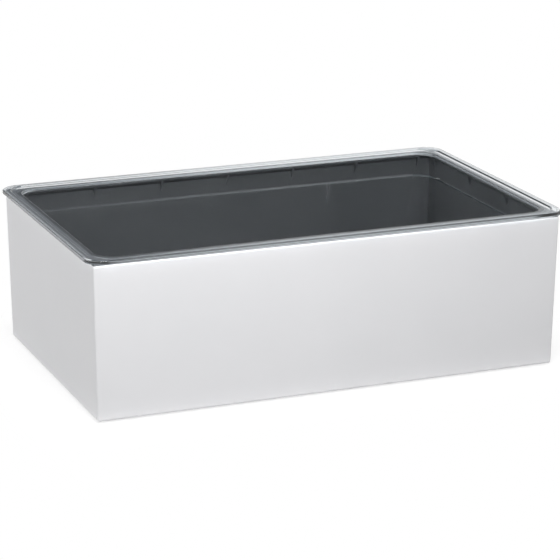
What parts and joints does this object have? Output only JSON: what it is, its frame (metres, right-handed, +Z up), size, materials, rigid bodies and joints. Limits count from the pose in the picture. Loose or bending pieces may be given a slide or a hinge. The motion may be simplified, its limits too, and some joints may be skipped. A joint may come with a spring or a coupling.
{
  "type": "ice housing with food pan",
  "caption": "Open-topped countertop housing holding a clear full-size food pan with a lift-out perforated drain shelf, for ice and chilled food.",
  "frame": {"origin": "on the counter, under the middle of the housing", "axes": "+X along the long side, +Y towards the back, +Z up"},
  "size_m": [0.53, 0.325, 0.1721],
  "materials": {
    "housing_shell": "smooth satin, pale silver grey outside, dark grey plastic inside",
    "clear_pan": "clear, polished",
    "clear_shelf": "clear, polished",
    "foot_rubber": "matt"
  },
  "bodies": {
    "housing": {"housing": "housing_shell", "foot_front_left": "foot_rubber", "foot_front_right": "foot_rubber", "foot_back_left": "foot_rubber", "foot_back_right": "foot_rubber"},
    "pan": {"pan": "clear_pan"},
    "drain_shelf": {"drain_shelf": "clear_shelf"}
  },
  "joints": [
    {"name": "pan_lift", "type": "slide", "parent": "housing", "child": "pan", "axis": [0, 0, 1], "range_m": [0, 0.16]},
    {"name": "shelf_lift", "type": "slide", "parent": "pan", "child": "drain_shelf", "axis": [0, 0, 1], "range_m": [0, 0.16]}
  ]
}
